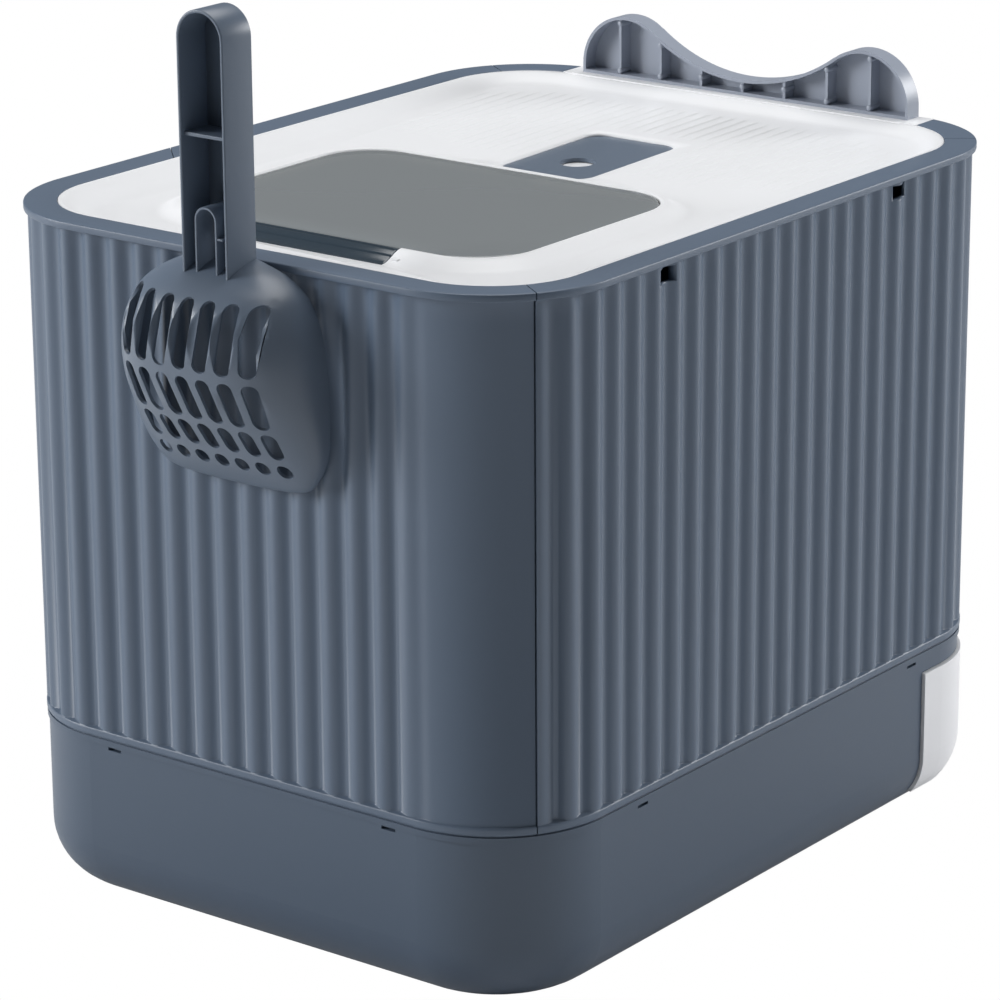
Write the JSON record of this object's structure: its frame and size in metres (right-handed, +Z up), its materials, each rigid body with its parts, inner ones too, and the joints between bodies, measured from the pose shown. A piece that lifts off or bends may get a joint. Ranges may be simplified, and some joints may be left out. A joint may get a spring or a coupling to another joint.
{
  "type": "top entry litter box",
  "caption": "Tall rectangular litter box with fluted walls, a smoked top door in a dished lid, cat-ear crest, front drawer tray and a hanging scoop",
  "frame": {"origin": "Middle of the base's underside, which lies on the floor.", "axes": "+Z up; -Y is the front with the ears and the drawer; +Y is the rear with the scoop; +X is to the right when looking at the rear from the front."},
  "size_m": [0.4, 0.565, 0.561],
  "materials": {
    "slate_base": "fine satin texture",
    "slate_wall": "fine satin texture",
    "slate_tray": "satin",
    "white_front": "satin",
    "white_lid": "satin",
    "slate_trim": "semi gloss",
    "smoked_door": "smoked, glossy",
    "slate_latch": "satin",
    "slate_scoop": "satin"
  },
  "bodies": {
    "box": {"base": "slate_base", "panel_left": "slate_wall", "panel_right": "slate_wall", "panel_front": "slate_wall", "panel_rear": "slate_wall", "scoop_hook": "slate_wall"},
    "drawer": {"drawer_tray": "slate_tray", "drawer_front": "white_front"},
    "lid": {"lid": "white_lid", "latch_cover": "white_lid", "ear_crest": "slate_trim"},
    "door": {"door": "smoked_door", "hinge_block": "slate_trim"},
    "latch": {"latch": "slate_latch"},
    "scoop": {"scoop": "slate_scoop"}
  },
  "joints": [
    {"name": "drawer_slide", "type": "slide", "parent": "box", "child": "drawer", "axis": [0, -1, 0], "range_m": [0, 0.3]},
    {"name": "lid_lift", "type": "slide", "parent": "box", "child": "lid", "axis": [0, 0, 1], "range_m": [0, 0.15]},
    {"name": "door_hinge", "type": "hinge", "parent": "lid", "child": "door", "pos_m": [0, 0.19, 0.41], "axis": [-1, 0, 0], "range_deg": [0, 100]},
    {"name": "latch_slide", "type": "slide", "parent": "lid", "child": "latch", "axis": [0, 0.9999, -0.0169], "range_m": [0, 0.008]},
    {"name": "scoop_lift", "type": "slide", "parent": "box", "child": "scoop", "axis": [0, 0.7071, 0.7071], "range_m": [0, 0.1]}
  ]
}
